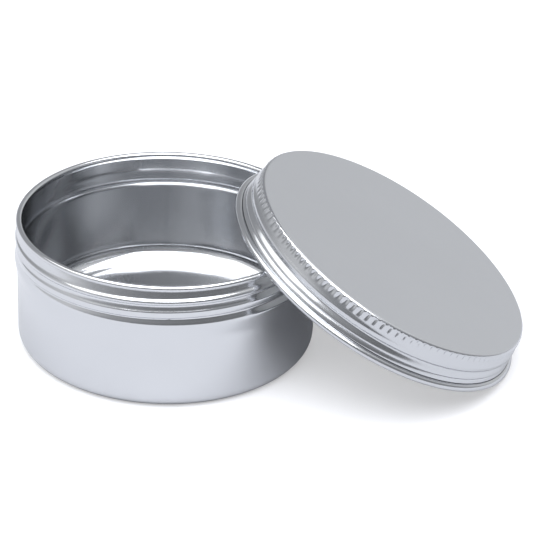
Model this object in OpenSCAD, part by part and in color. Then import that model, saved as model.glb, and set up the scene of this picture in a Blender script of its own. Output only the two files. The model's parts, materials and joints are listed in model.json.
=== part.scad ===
// Round aluminium screw-top tin, open, with its lid leaning on the rim.
// Origin: middle of the tin's underside. +Z is up. Millimetres.

/* [Tin] */
// Diameter of the plain wall
body_d = 76; // [64:1:92]
// Height from the table to the top of the rolled rim
can_h = 33.6; // [28:0.2:41]
// Thickness of the sheet, the same in tin and lid
wall = 0.5; // [0.4:0.05:0.7]
// Outside radius of the corner between wall and base
base_corner = 3; // [2:0.25:4]
// Inside radius of the same corner, which is fuller than the outside
inside_corner = 4.9; // [3.4:0.1:6]

// How far the middle of the base stands up from the table
base_rise = 1.3; // [0.4:0.1:1.8]
// Width of the flat ring that the tin stands on
base_land = 1.5; // [1:0.1:3]

/* [Neck] */
// Thickness of the rolled rim
rim_roll = 1.6; // [1.4:0.1:2]
// Height of the plain recess under the rim
recess_h = 1.3; // [1:0.1:2.4]
// How far the recess leans outwards on its way down
recess_lean = 0.4; // [0:0.05:0.6]
// Height from one rolled thread to the next
thread_pitch = 3; // [2.6:0.1:4]
// Height of the flat on a thread's crest
thread_land = 0.6; // [0.2:0.1:1]
// How far the threads stand out past the plain wall
thread_out = 0.5; // [0.3:0.05:0.7]
// How far the dip between the threads lies inside the plain wall
thread_dip = 0.15; // [0:0.05:0.4]
// Height of the floor of the groove under the threads
groove_h = 0.3; // [0.2:0.1:1]
// How far that groove lies inside the plain wall
groove_dip = 0.1; // [0:0.05:0.4]
// Height of the stop bead under the groove
stop_h = 5; // [3.6:0.1:6]
// How far the stop bead stands out past the plain wall
stop_out = 0.6; // [0.4:0.05:1]

/* [Lid] */
// Height of the lid from its mouth to its face
lid_h = 10.2; // [8.5:0.1:12.4]
// Gap between the tin's rim and the top of the lid's skirt
lid_clear = 0.3; // [0.2:0.05:0.6]
// Radius of the edge between the lid's face and skirt
face_round = 0.9; // [0.6:0.1:1.2]
// Thickness of the rolled edge at the lid's mouth
curl_roll = 2.2; // [1.8:0.1:2.7]
// Height from the rolled edge to the crest of the ridge above it
ridge_rise = 1.1; // [0.8:0.1:1.4]
// Height of the thread groove above that crest
lid_groove_h = 2.5; // [2:0.1:3]
// Number of flutes in the grip band
flute_count = 120; // [80:4:140]
// Gap between the shoulder bead and the foot of the flutes
flute_gap = 0.2; // [0.1:0.1:0.6]
// Depth of each flute
flute_deep = 0.22; // [0.1:0.02:0.3]
// Thickness of the foam liner
liner_t = 1; // [0.8:0.1:2]

/* [Leaning lid] */
// How far the lid's raised edge stands above the tin's rim
lean_over = 4.9; // [3:0.5:8]
// Direction the lid lies in, in degrees round the tin from +X
lean_heading = -3.3; // [-20:0.1:20]
// Gap left where the lid rests on the rim
touch_gap = 0.15; // [0.1:0.05:0.3]

/* [Hidden] */
$fn = 180;

body_r = body_d / 2;
rim_r = body_r + 0.1;
rim_ring_r = rim_r - rim_roll / 2;
rim_ring_z = can_h - rim_roll / 2;
neck_r = rim_r - rim_roll + wall;
crest_r = body_r + thread_out;
dip_r = body_r - thread_dip;
stop_r = body_r + stop_out;
groove_r = body_r - groove_dip;
land_r = body_r - base_corner - base_land;
floor_z = base_rise + wall;

skirt_r = rim_r + lid_clear + wall;
// shoulder, mouth and ridge stand out past the top of the skirt
shoulder_r = skirt_r + 0.4;
mouth_r = skirt_r + 0.3;
ridge_r = skirt_r + 0.6;
curl_ring_r = mouth_r + (curl_roll - wall) / 2;
liner_r = skirt_r - wall - 0.3;
liner_gap = 0.05;
flute_r = 0.6;

// Points eased between stations [height, radius], so every bead runs smooth.
ease_steps = 6;
function eased(a, b, u) = a + (b - a) * (1 - cos(180 * u)) / 2;
function waved(s) = [
    for (i = [0 : len(s) - 2], k = [0 : ease_steps - 1])
        let (u = k / ease_steps)
        [eased(s[i][1], s[i + 1][1], u), s[i][0] + (s[i + 1][0] - s[i][0]) * u],
    [s[len(s) - 1][1], s[len(s) - 1][0]]
];
function arc(centre, r, from, to, steps = 10) = [
    for (k = [0 : steps])
        let (a = from + (to - from) * k / steps)
        centre + r * [cos(a), sin(a)]
];
function reversed(p) = [for (i = [len(p) - 1 : -1 : 0]) p[i]];
function inside(p) = [for (q = p) q - [wall, 0]];

// Neck stations, from the rim down.
thread_flank = (thread_pitch - thread_land) / 2;
groove_flank = 0.8;
rim_seat = 0.1;
recess_top = can_h - rim_roll - rim_seat;
thread_foot = recess_top - recess_h;
dip_z = thread_foot - thread_pitch;
low_crest_foot = dip_z - thread_flank - thread_land;
groove_foot = low_crest_foot - groove_flank - groove_h;
neck_stations = [
    [groove_foot - stop_h, body_r],
    [groove_foot - stop_h / 4, stop_r],
    [groove_foot, groove_r],
    [groove_foot + groove_h, groove_r],
    [low_crest_foot, crest_r],
    [dip_z - thread_flank, crest_r],
    [dip_z, dip_r],
    [thread_foot - thread_flank - thread_land, crest_r],
    [thread_foot - thread_flank, crest_r],
    [thread_foot, neck_r + recess_lean],
    [recess_top, neck_r]
];

// Skirt stations, from the rolled edge up.
ridge_z = curl_roll + ridge_rise;
shoulder_z = ridge_z + lid_groove_h;
shoulder_h = 0.4;
shoulder_taper = 0.6;
shoulder_top = shoulder_z + shoulder_h + shoulder_taper;
skirt_stations = [
    [curl_roll, mouth_r],
    [ridge_z, ridge_r],
    [ridge_z + lid_groove_h / 2, skirt_r],
    [shoulder_z, shoulder_r],
    [shoulder_z + shoulder_h, shoulder_r],
    [shoulder_top, skirt_r]
];
flute_foot = shoulder_top + flute_gap;
flute_top = lid_h - face_round;

// The lid leans until its raised edge stands lean_over above the rim.
curl_a = curl_roll / 2;
lean = asin((can_h + lean_over) / (2 * curl_ring_r));
mouth_z = curl_ring_r * sin(lean) + curl_a * (1 - cos(lean));

// Distance between the rolled edge at angle t and the rim, for a lid centred at x.
function curl_at(t, x) = [
    x + curl_a * sin(lean) + curl_ring_r * cos(lean) * cos(t),
    curl_ring_r * sin(t),
    mouth_z + curl_a * cos(lean) - curl_ring_r * sin(lean) * cos(t)
];
function to_rim(p) =
    norm([norm([p.x, p.y]) - rim_ring_r, p.z - rim_ring_z]) - curl_a - rim_roll / 2;
function rest_gap(x) = min([for (t = [90 : 0.25 : 180]) to_rim(curl_at(t, x))]);
function settled(near, far, tries = 24) =
    let (mid = (near + far) / 2)
    tries == 0 ? far
    : rest_gap(mid) > touch_gap ? settled(near, mid, tries - 1)
    : settled(mid, far, tries - 1);
lid_x = settled(1.25 * body_r, 2.1 * body_r);

module lean_on_rim() {
    rotate([0, 0, lean_heading])
        translate([lid_x, 0, mouth_z])
            rotate([0, lean, 0])
                children();
}

module ring(r, z, thick) {
    translate([0, 0, z])
        rotate_extrude()
            translate([r, 0])
                circle(d = thick, $fn = 32);
}

module tin_body() {
    neck = waved(neck_stations);
    outer = concat(arc([body_r - base_corner, base_corner], base_corner, -90, 0), neck,
        [[neck_r, rim_ring_z]]);
    corner_centre = [body_r - wall - inside_corner, floor_z + inside_corner];
    inner = concat(arc(corner_centre, inside_corner, -90, 0), inside(neck),
        [[neck_r - wall, rim_ring_z]]);
    color("gainsboro") {
        rotate_extrude()
            polygon(concat([[0, base_rise], [land_r - base_rise, base_rise], [land_r, 0]], outer,
                reversed(inner), [[0, floor_z]]));
        ring(rim_ring_r, rim_ring_z, rim_roll);
    }
}

module skirt_sheet() {
    skirt = waved(skirt_stations);
    edge_r = skirt_r - face_round;
    edge_z = lid_h - face_round;
    outer = concat([[mouth_r, curl_a]], skirt, arc([edge_r, edge_z], face_round, 0, 90));
    inner = concat([[mouth_r - wall, curl_a]], inside(skirt),
        arc([edge_r, edge_z], face_round - wall, 0, 90));
    rotate_extrude()
        polygon(concat(outer, [[0, lid_h], [0, lid_h - wall]], reversed(inner)));
}

module flutes() {
    for (i = [0 : flute_count - 1])
        rotate([0, 0, i * 360 / flute_count])
            translate([skirt_r + flute_r - flute_deep, 0, flute_foot])
                cylinder(r = flute_r, h = flute_top - flute_foot, $fn = 24);
}

module lid_shell() {
    color("silver")
        lean_on_rim() {
            difference() {
                skirt_sheet();
                flutes();
            }
            ring(curl_ring_r, curl_a, curl_roll);
        }
}

module lid_liner() {
    color("white")
        lean_on_rim()
            translate([0, 0, lid_h - wall - liner_gap - liner_t])
                cylinder(r = liner_r, h = liner_t);
}

tin_body();
lid_shell();
lid_liner();
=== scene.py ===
import json
import math

import bpy
from mathutils import Euler, Matrix, Vector


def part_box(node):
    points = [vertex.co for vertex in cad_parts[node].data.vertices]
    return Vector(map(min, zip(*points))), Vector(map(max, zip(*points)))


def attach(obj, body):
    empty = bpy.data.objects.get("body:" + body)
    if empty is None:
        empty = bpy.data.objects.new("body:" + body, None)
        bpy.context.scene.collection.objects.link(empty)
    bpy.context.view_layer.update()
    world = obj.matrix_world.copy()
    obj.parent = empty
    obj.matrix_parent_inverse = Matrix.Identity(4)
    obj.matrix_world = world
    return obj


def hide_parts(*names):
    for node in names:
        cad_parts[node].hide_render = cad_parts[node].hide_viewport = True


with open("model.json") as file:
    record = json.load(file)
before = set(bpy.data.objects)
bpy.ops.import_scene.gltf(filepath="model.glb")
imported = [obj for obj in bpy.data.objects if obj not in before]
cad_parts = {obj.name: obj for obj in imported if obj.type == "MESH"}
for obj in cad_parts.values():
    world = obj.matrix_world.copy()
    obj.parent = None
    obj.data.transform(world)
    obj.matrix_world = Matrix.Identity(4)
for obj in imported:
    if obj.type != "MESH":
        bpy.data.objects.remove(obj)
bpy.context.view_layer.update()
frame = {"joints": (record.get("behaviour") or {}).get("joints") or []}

MM = 0.001
tin_low, tin_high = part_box("tin_body")
RIM_TOP = (tin_high.z - tin_low.z) / MM
turning = next(j for j in frame["joints"] if j["name"] == "lid_turn")
LID_MOUTH = Vector(turning["pos_m"])
LID_AXIS = Vector(turning["axis"]).normalized()
LID_LEAN = Euler((0, math.acos(LID_AXIS.z), math.atan2(LID_AXIS.y, LID_AXIS.x)))


# ---------------------------------------------------------------- camera

CAMERA_LENS = 135.2
CAMERA_LOOKS_AT = Vector((25.35, 0, 20.05)) * MM
CAMERA_DISTANCE = 510.5 * MM
CAMERA_DOWN, CAMERA_ROLL = math.radians(28.2), math.radians(2.45)


def set_camera():
    bpy.ops.object.camera_add()
    camera = bpy.context.object
    camera.name = "camera"
    camera.data.sensor_width = 36
    camera.data.lens = CAMERA_LENS
    camera.data.clip_start = 0.01
    back = Vector((0, -math.cos(CAMERA_DOWN), math.sin(CAMERA_DOWN)))
    turn = Matrix.Rotation(math.pi / 2 - CAMERA_DOWN, 4, "X") @ Matrix.Rotation(CAMERA_ROLL, 4, "Z")
    camera.matrix_world = Matrix.Translation(CAMERA_LOOKS_AT + back * CAMERA_DISTANCE) @ turn
    bpy.context.scene.camera = camera


# ---------------------------------------------------------------- modelling

def clear_selection():
    bpy.ops.object.select_all(action="DESELECT")


def ease(u):
    return (1 - math.cos(math.pi * min(max(u, 0), 1))) / 2


def smooth_line(points, z):
    """Height z on a line through (z, r) points, rounded so that it has no corners."""
    if z <= points[0][0]:
        return points[0][1]
    for k in range(len(points) - 1):
        (z0, r0), (z1, r1) = points[k], points[k + 1]
        if z <= z1:
            before, after = points[max(k - 1, 0)], points[min(k + 2, len(points) - 1)]
            m0 = (r1 - before[1]) / (z1 - before[0])
            m1 = (after[1] - r0) / (after[0] - z0)
            h, u = z1 - z0, (z - z0) / (z1 - z0)
            return ((2 * u ** 3 - 3 * u ** 2 + 1) * r0 + (u ** 3 - 2 * u ** 2 + u) * h * m0
                    + (3 * u ** 2 - 2 * u ** 3) * r1 + (u ** 3 - u ** 2) * h * m1)
    return points[-1][1]


def arc(r, z, radius, start, end, steps, squash=1):
    """Points (r, z) on an arc, from the start angle to the end angle in degrees."""
    angles = [math.radians(start + (end - start) * k / steps) for k in range(steps + 1)]
    return [(r + radius * math.cos(a), z + radius * squash * math.sin(a)) for a in angles]


def spread(start, end, steps):
    return [start + (end - start) * k / steps for k in range(steps + 1)]


def turn_up(name, outline, around):
    """Turns sheet metal up from a flat disc: its edge is drawn out ring by ring along the
    outline of (radius, height) in mm, and the last ring is closed with a disc."""
    clear_selection()
    (r, z), rest = outline[0], outline[1:]
    bpy.ops.mesh.primitive_circle_add(
        vertices=around, radius=r * MM, fill_type="NGON", location=(0, 0, z * MM))
    piece = bpy.context.object
    piece.name = piece.data.name = name
    bpy.ops.object.transform_apply(location=True)
    bpy.ops.object.mode_set(mode="EDIT")
    bpy.ops.mesh.select_all(action="SELECT")
    bpy.ops.mesh.region_to_loop()
    for r1, z1 in rest:
        bpy.ops.mesh.extrude_edges_move(
            TRANSFORM_OT_translate={"value": (0, 0, (z1 - z) * MM)})
        if abs(r1 - r) > 1e-6:
            bpy.ops.transform.resize(value=(r1 / r, r1 / r, 1), center_override=(0, 0, 0))
        r, z = r1, z1
    bpy.ops.mesh.edge_face_add()
    bpy.ops.mesh.select_all(action="SELECT")
    bpy.ops.mesh.normals_make_consistent(inside=False)
    bpy.ops.object.mode_set(mode="OBJECT")
    return piece


def smooth(piece, degrees=38):
    clear_selection()
    piece.select_set(True)
    bpy.context.view_layer.objects.active = piece
    bpy.ops.object.shade_smooth_by_angle(angle=math.radians(degrees))


def lean_on_rim(piece):
    """Lays a piece that was modelled level, mouth down on the origin, where the lid rests."""
    clear_selection()
    piece.select_set(True)
    bpy.context.view_layer.objects.active = piece
    piece.rotation_euler = LID_LEAN
    piece.location = LID_MOUTH
    bpy.ops.object.transform_apply(location=True, rotation=True, scale=True)


# ---------------------------------------------------------------- tin

# sizes in mm, with heights from the table
WALL = 0.5
SHEET_R = 38.0
BASE_RISE = 1.3
CORNER_IN, CORNER_OUT = 4.9, 3.0
ROLL_R, ROLL_Z = 37.3, RIM_TOP - 0.8
NECK_TOP = RIM_TOP - 1.7
NECK_FOOT = RIM_TOP - 14.8
NECK_RINGS = 84
# the neck without its threads, as (height, radius): stop bead, groove, and the recess under the rim
NECK = [(18.8, 38.0), (19.6, 38.05), (20.6, 38.2), (21.6, 38.38), (22.4, 38.5), (23.0, 38.55),
        (23.5, 38.5), (24.0, 38.34), (24.5, 38.12), (24.9, 37.96), (25.2, 37.9), (26.5, 37.87),
        (28.5, 37.84), (29.3, 37.78), (30.0, 37.66), (30.8, 37.42), (31.3, 37.26), (31.9, 37.06)]
# the same inside, where the relief is softer: only the groove stands in
NECK_INSIDE = [(18.8, 37.5), (22.6, 37.5), (23.6, 37.47), (24.2, 37.38), (24.6, 37.27),
               (24.85, 37.24), (25.1, 37.27), (25.4, 37.33), (25.8, 37.37), (26.4, 37.36),
               (28.2, 37.2), (30.0, 37.05), (31.9, 36.9)]
# how much of the thread's rise shows on the inside
INSIDE_SHARE = 0.08
# one turn of the thread, as (height above its middle, how far it stands out of the neck): the
# upper turn is a narrow crest over a sharp underside, and the lower one a wide crest
UPPER_TURN = [(-0.8, 0), (-0.65, 0.02), (-0.5, 0.1), (-0.35, 0.24), (-0.2, 0.4), (-0.05, 0.5),
              (0.15, 0.52), (0.4, 0.48), (0.65, 0.36), (0.9, 0.14), (1.1, 0.03), (1.4, 0)]
LOWER_TURN = [(-1.15, 0), (-0.95, 0.13), (-0.75, 0.38), (-0.55, 0.54), (-0.15, 0.62), (0.5, 0.63),
              (0.75, 0.6), (0.95, 0.5), (1.15, 0.34), (1.4, 0.23), (1.8, 0.11), (2.2, 0.01),
              (2.5, 0)]
THREAD_PITCH = 3.0
# the upper turn's height at the front, and the angles in degrees that the thread runs between
THREAD_FRONT = 29.15
THREAD_START, THREAD_END = -560, 60
THREAD_FADE = 60


def thread_height(z, degrees):
    """How far the rolled thread stands out of the neck at height z, that many degrees round."""
    best = 0
    for turn in (-1, 0, 1, 2):
        along = degrees - 360 * turn
        if not THREAD_START < along < THREAD_END:
            continue
        low = ease((-90 - along) / 360)
        fade = ease((along - THREAD_START) / THREAD_FADE) * ease((THREAD_END - along) / THREAD_FADE)
        off = z - THREAD_FRONT - THREAD_PITCH * (along + 90) / 360
        rise = (1 - low) * smooth_line(UPPER_TURN, off) + low * smooth_line(LOWER_TURN, off)
        best = max(best, fade * rise)
    return best


def make_tin():
    heights = spread(NECK_FOOT, NECK_TOP, NECK_RINGS)
    neck = [(smooth_line(NECK, z), z) for z in heights]
    foot_in, foot_out = SHEET_R - WALL - CORNER_IN, SHEET_R - CORNER_OUT
    floor_z = BASE_RISE + WALL
    inside = ([(20, floor_z), (foot_in - 0.4, floor_z)]
              + arc(foot_in, floor_z + CORNER_IN, CORNER_IN, -90, 0, 12)
              + [(SHEET_R - WALL, floor_z + CORNER_IN + 0.4), (SHEET_R - WALL, NECK_FOOT - 0.4)]
              + [(smooth_line(NECK_INSIDE, z), z) for z in heights])
    roll = (arc(ROLL_R, ROLL_Z, 0.8, 204, 0, 15)
            + arc(ROLL_R, ROLL_Z, 0.8, 0, -112, 8, squash=0.85)[1:])
    tuck = (arc(ROLL_R, ROLL_Z, 0.3, -112, 0, 3, squash=0.8)
            + arc(ROLL_R, ROLL_Z, 0.3, 0, 180, 5)[1:])
    # the underside: the corner, the ring it stands on, and the raised middle
    outside = (neck[::-1] + [(SHEET_R, NECK_FOOT - 0.4), (SHEET_R, CORNER_OUT + 0.4)]
               + arc(foot_out, CORNER_OUT, CORNER_OUT, 0, -90, 8)
               + arc(33.5, 0.7, 0.7, -90, -140, 3)
               + arc(32.0, BASE_RISE - 0.6, 0.6, 40, 90, 3)
               + [(31.6, BASE_RISE), (20, BASE_RISE)])
    tin = turn_up("tin", inside + roll + tuck + outside, 240)
    for v in tin.data.vertices:
        x, y, z = v.co / MM
        r = math.hypot(x, y)
        if NECK_FOOT < z < NECK_TOP + 0.01 and r > 30:
            rise = thread_height(z, math.degrees(math.atan2(y, x)))
            if r < (smooth_line(NECK, z) + smooth_line(NECK_INSIDE, z)) / 2:
                rise *= INSIDE_SHARE
            v.co.x *= (r + rise) / r
            v.co.y *= (r + rise) / r
    smooth(tin)
    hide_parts("tin_body")
    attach(tin, "tin")
    return tin


# ---------------------------------------------------------------- lid

# sizes in mm, with heights from the lid's mouth
LID_H = 10.2
LID_EDGE = 0.9
FACE_R = 38.85
# the skirt from the mouth up, as (height, radius): the cone above the roll, a crease, the ridge, the
# thread groove, the shoulder, and the foot of the grip band
SKIRT = [(1.0, 39.2), (1.6, 39.24), (1.8, 39.7), (2.05, 39.84), (2.8, 39.56), (2.95, 39.42),
         (3.1, 39.48), (3.3, 39.55), (3.6, 39.52), (4.0, 39.36), (4.7, 39.02), (4.95, 38.92),
         (5.15, 38.95), (5.5, 39.16), (5.75, 39.24), (6.0, 39.22), (6.25, 39.27), (6.5, 39.22),
         (6.9, 39.09), (7.4, 38.98), (7.9, 38.92)]
CURL_R, CURL_Z = 39.98, 0.98
FLUTES = 120
PER_FLUTE = 8
# how deep a flute is at each height, and what share of that each of its columns takes
FLUTE_DEPTH = {7.9: 0.06, 8.3: 0.18, 8.7: 0.3, 9.05: 0.37, 9.3: 0.39, 9.456: 0.38, 9.608: 0.28,
               9.75: 0.06}
FLUTE_SHARE = {0: 1, 1: 0.82, 7: 0.82, 2: 0.35, 6: 0.35}


def make_lid():
    top_r, top_z = FACE_R - LID_EDGE, LID_H - LID_EDGE
    skirt = [(smooth_line(SKIRT, z), z) for z in [1.0, 1.6] + spread(1.8, 7.6, 29)]
    band = [(38.93 - 0.05 * (z - 7.7), z) for z in (7.9, 8.3, 8.7, 9.05)]
    inside = ([(30, LID_H - WALL), (top_r - 0.3, LID_H - WALL)]
              + arc(top_r, top_z, LID_EDGE - WALL, 90, 0, 3)
              + [(r - WALL, z) for r, z in (skirt + band[:2])[::-2]])
    # the mouth is straight inside, where the sheet turns out into its roll
    inside = [(r if z > 3 else min(r, FACE_R), z) for r, z in inside if z > 1.5]
    roll = arc(CURL_R, CURL_Z, 1.17, 180, 452, 17, squash=0.82)
    tuck = arc(CURL_R, CURL_Z, 0.77, 452, 190, 7, squash=0.8)
    outside = (skirt + band + arc(top_r, top_z, LID_EDGE, 0, 90, 9)
               + [(top_r - 0.3, LID_H), (30, LID_H)])
    lid = turn_up("lid", inside + roll + tuck + outside, FLUTES * PER_FLUTE)
    press_flutes(lid)
    lean_on_rim(lid)
    smooth(lid, 45)
    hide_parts("lid_shell")
    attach(lid, "lid")
    return lid


def press_flutes(lid):
    """Presses the flutes in, one height and one share at a time, by scaling towards the axis."""
    bpy.ops.object.mode_set(mode="EDIT")
    bpy.ops.mesh.select_mode(type="VERT")
    for height, depth in FLUTE_DEPTH.items():
        # only the outer face is pressed, and above the band it lies further in
        outer_r = 38.03 if height > 9.4 else 38.63
        for share in (1, 0.82, 0.35):
            bpy.ops.mesh.select_all(action="DESELECT")
            bpy.ops.object.mode_set(mode="OBJECT")
            for v in lid.data.vertices:
                x, y, z = v.co / MM
                r = math.hypot(x, y)
                if abs(z - height) < 0.03 and r > outer_r:
                    column = round(math.degrees(math.atan2(y, x)) / (360 / FLUTES / PER_FLUTE))
                    v.select = FLUTE_SHARE.get(column % PER_FLUTE) == share
            bpy.ops.object.mode_set(mode="EDIT")
            k = 1 - depth * share / 38.9
            bpy.ops.transform.resize(value=(k, k, 1), center_override=(0, 0, 0))
    bpy.ops.object.mode_set(mode="OBJECT")


# ---------------------------------------------------------------- liner

LINER_LOW, LINER_HIGH, LINER_R = 8.65, 9.65, 38.1
LINER_EDGE = 0.12


def make_liner():
    """A disc of foam, with the round mark that the tin's rim has pressed into it."""
    low, high, edge_r = LINER_LOW, LINER_HIGH, LINER_R - LINER_EDGE
    mark = [(36.2, low), (36.6, low + 0.05), (36.9, low + 0.13), (37.3, low + 0.17),
            (37.7, low + 0.13), (37.9, low + 0.06)]
    rim = (arc(edge_r, low + LINER_EDGE + 0.06, LINER_EDGE, -90, 0, 3)
           + arc(edge_r, high - LINER_EDGE, LINER_EDGE, 0, 90, 3))
    outline = [(12, low), (26, low)] + mark + rim + [(26, high), (12, high)]
    liner = turn_up("liner", outline, 144)
    lean_on_rim(liner)
    smooth(liner)
    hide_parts("lid_liner")
    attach(liner, "liner")
    return liner


# ---------------------------------------------------------------- finishes

class Signal:
    """One output in a finish, with ordinary arithmetic."""

    def __init__(self, finish, socket):
        self.finish, self.socket = finish, socket

    def math(self, operation, *values):
        return self.finish.add("ShaderNodeMath", {"operation": operation}, dict(enumerate(values)))

    def __add__(self, other):
        return self.math("ADD", self, other)

    def __radd__(self, other):
        return self.math("ADD", other, self)

    def __sub__(self, other):
        return self.math("SUBTRACT", self, other)

    def __rsub__(self, other):
        return self.math("SUBTRACT", other, self)

    def __mul__(self, other):
        return self.math("MULTIPLY", self, other)

    def __rmul__(self, other):
        return self.math("MULTIPLY", other, self)

    def between(self, low, high):
        """0 below low, 1 above high, and smooth between."""
        return self.finish.add("ShaderNodeMapRange", {"interpolation_type": "SMOOTHSTEP"},
                               {"Value": self, "From Min": low, "From Max": high})


class Finish:
    """A material's nodes."""

    def __init__(self, name):
        self.material = bpy.data.materials.new(name)
        self.material.use_nodes = True
        self.tree = self.material.node_tree
        self.shader = self.tree.nodes["Principled BSDF"]

    def add(self, kind, settings=None, inputs=None, output=0):
        node = self.tree.nodes.new(kind)
        for key, value in (settings or {}).items():
            setattr(node, key, value)
        for key, value in (inputs or {}).items():
            self.feed(node.inputs[key], value)
        return Signal(self, node.outputs[output])

    def feed(self, socket, value):
        if isinstance(value, Signal):
            self.tree.links.new(value.socket, socket)
        else:
            socket.default_value = value

    def place(self, location=(0, 0, 0), rotation=(0, 0, 0), scale=(1, 1, 1)):
        """Object coordinates, moved to a piece's own axis."""
        spot = self.add("ShaderNodeTexCoord", output="Object")
        own = self.add("ShaderNodeMapping", {"vector_type": "TEXTURE"},
                       {"Vector": spot, "Location": location, "Rotation": rotation})
        if scale == (1, 1, 1):
            return own
        return self.add("ShaderNodeMapping", {}, {"Vector": own, "Scale": scale})

    def noise(self, where, scale, detail=2, roughness=0.5):
        return self.add("ShaderNodeTexNoise", {}, {
            "Vector": where, "Scale": scale, "Detail": detail, "Roughness": roughness})

    def mix(self, factor, a, b):
        return self.add("ShaderNodeMix", {"data_type": "RGBA"}, {0: factor, 6: a, 7: b}, output=2)

    def set(self, **values):
        for key, value in values.items():
            self.feed(self.shader.inputs[key.replace("_", " ")], value)

    def bump(self, height, distance, strength=1.0):
        self.feed(self.shader.inputs["Normal"], self.add(
            "ShaderNodeBump", {}, {"Height": height, "Distance": distance, "Strength": strength}))


def drawn_metal():
    """The tin: smooth drawn aluminium, with faint upright marks from the drawing die."""
    f = Finish("drawn_aluminium")
    marks = f.noise(f.place(scale=(1, 1, 0.015)), 420, 3)
    grain = f.noise(f.place(), 3800, 2)
    cloud = f.noise(f.place(), 45, 3)
    f.set(Metallic=1.0,
          Base_Color=f.mix(cloud, (0.66, 0.67, 0.69, 1), (0.71, 0.72, 0.74, 1)),
          Roughness=0.09 + 0.06 * marks + 0.04 * cloud)
    f.bump(marks * 0.7 + grain * 0.3, 0.000006)
    return f.material


def satin_metal():
    """The lid: a satin face with a very fine grain, and brighter beads and flutes."""
    f = Finish("satin_aluminium")
    lid = (tuple(LID_MOUTH), tuple(LID_LEAN))
    height = f.add("ShaderNodeSeparateXYZ", {}, {"Vector": f.place(*lid)}, output="Z")
    face = height.between((LID_H - 0.12) * MM, (LID_H - 0.02) * MM)
    grain = f.noise(f.place(*lid), 3200, 3, 0.65)
    cloud = f.noise(f.place(*lid), 38, 3)
    marks = f.noise(f.place(*lid, scale=(1, 1, 0.02)), 380, 3)
    side = 0.14 + 0.07 * marks
    f.set(Metallic=1.0,
          Base_Color=f.mix(cloud, (0.61, 0.62, 0.64, 1), (0.64, 0.65, 0.67, 1)),
          Roughness=side + face * (0.26 + 0.08 * grain - side * 0.2))
    f.bump(grain * face + marks * (1 - face) * 0.6, 0.000012)
    return f.material


def foam():
    """The liner: white closed-cell foam."""
    f = Finish("foam")
    cells = f.add("ShaderNodeTexVoronoi", {}, {"Vector": f.place(), "Scale": 2600})
    cloud = f.noise(f.place(), 60, 3)
    f.set(Base_Color=f.mix(cloud, (0.86, 0.86, 0.84, 1), (0.93, 0.93, 0.91, 1)),
          Roughness=0.75 + 0.12 * cells)
    f.bump(cells * 0.8 + cloud * 0.4, 0.00008)
    return f.material


def white_table():
    """A pale table, a little lighter for the camera than in the metal's reflections."""
    f = Finish("white_table")
    f.set(Base_Color=(0.6, 0.605, 0.63, 1), Roughness=0.8)
    paper = f.add("ShaderNodeBsdfPrincipled", {}, {
        "Base Color": (0.62, 0.62, 0.64, 1), "Roughness": 0.8,
        "Emission Color": (1, 1, 1, 1), "Emission Strength": 0.4})
    seen = f.add("ShaderNodeLightPath", output="Is Camera Ray")
    both = f.add("ShaderNodeMixShader", {}, {0: seen, 1: Signal(f, f.shader.outputs[0]), 2: paper})
    f.feed(f.tree.nodes["Material Output"].inputs["Surface"], both)
    return f.material


def dress(piece, material):
    piece.data.materials.clear()
    piece.data.materials.append(material)


# ---------------------------------------------------------------- studio

def add_light(name, location, size, energy, colour=(1, 1, 1)):
    """A soft panel over the table that shines straight down."""
    bpy.ops.object.light_add(type="AREA", location=location)
    light = bpy.context.object
    light.name = name
    light.data.shape = "RECTANGLE"
    light.data.size, light.data.size_y = size
    light.data.color = colour
    light.data.energy = energy


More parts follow.
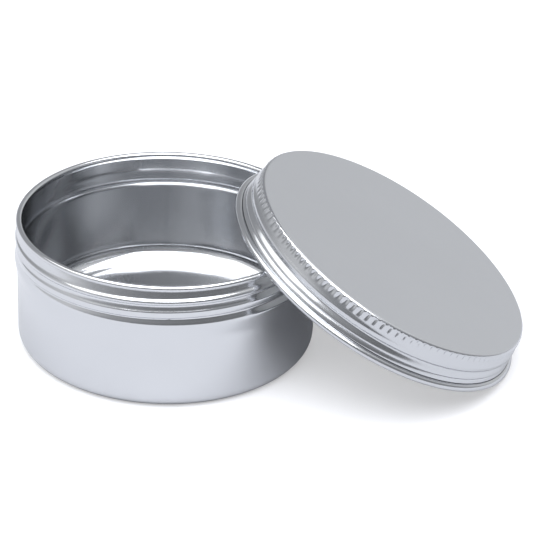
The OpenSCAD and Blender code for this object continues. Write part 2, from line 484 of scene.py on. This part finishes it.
def make_world():
    """The room as the metal reflects it: brightest low down behind and to the left, darker
    overhead, dark in front and to the right. The camera itself sees white paper."""
    world = bpy.data.worlds.new("studio")
    bpy.context.scene.world = world
    world.use_nodes = True
    tree = world.node_tree
    tree.nodes.clear()
    spot = tree.nodes.new("ShaderNodeTexCoord")
    towards = tree.nodes.new("ShaderNodeVectorMath")
    towards.operation = "DOT_PRODUCT"
    towards.inputs[1].default_value = (-0.5, 0.8, 0.8)
    tree.links.new(spot.outputs["Generated"], towards.inputs[0])
    half = tree.nodes.new("ShaderNodeMapRange")
    half.inputs["From Min"].default_value = -0.75
    half.inputs["From Max"].default_value = 1.2
    tree.links.new(towards.outputs["Value"], half.inputs["Value"])
    ramp = tree.nodes.new("ShaderNodeValToRGB")
    ramp.color_ramp.elements[0].color = (0.2, 0.205, 0.215, 1)
    ramp.color_ramp.elements[1].color = (0.38, 0.39, 0.41, 1)
    for place, tone in ((0.32, 0.39), (0.52, 0.71), (0.75, 0.67), (0.92, 0.4)):
        ramp.color_ramp.elements.new(place).color = (tone, tone + 0.01, tone + 0.025, 1)
    tree.links.new(half.outputs[0], ramp.inputs[0])
    room = tree.nodes.new("ShaderNodeBackground")
    tree.links.new(ramp.outputs[0], room.inputs["Color"])
    paper = tree.nodes.new("ShaderNodeBackground")
    paper.inputs["Color"].default_value = (0.97, 0.975, 0.98, 1)
    seen = tree.nodes.new("ShaderNodeLightPath")
    both = tree.nodes.new("ShaderNodeMixShader")
    tree.links.new(seen.outputs["Is Camera Ray"], both.inputs[0])
    tree.links.new(room.outputs[0], both.inputs[1])
    tree.links.new(paper.outputs[0], both.inputs[2])
    out = tree.nodes.new("ShaderNodeOutputWorld")
    tree.links.new(both.outputs[0], out.inputs["Surface"])


def make_studio():
    clear_selection()
    bpy.ops.mesh.primitive_plane_add(size=6, location=(0, 0, 0))
    floor = bpy.context.object
    floor.name = "floor"
    dress(floor, white_table())
    add_light("soft_top", (0, -1.15, 3.0), (3.9, 3.9), 160, (0.96, 0.975, 1.0))
    add_light("soft_left", (-2.85, -0.4, 3.0), (1.8, 3.9), 32)
    make_world()
    bpy.context.scene.view_settings.view_transform = "Standard"
    bpy.context.scene.view_settings.look = "None"


set_camera()
dress(make_tin(), drawn_metal())
dress(make_lid(), satin_metal())
dress(make_liner(), foam())
make_studio()
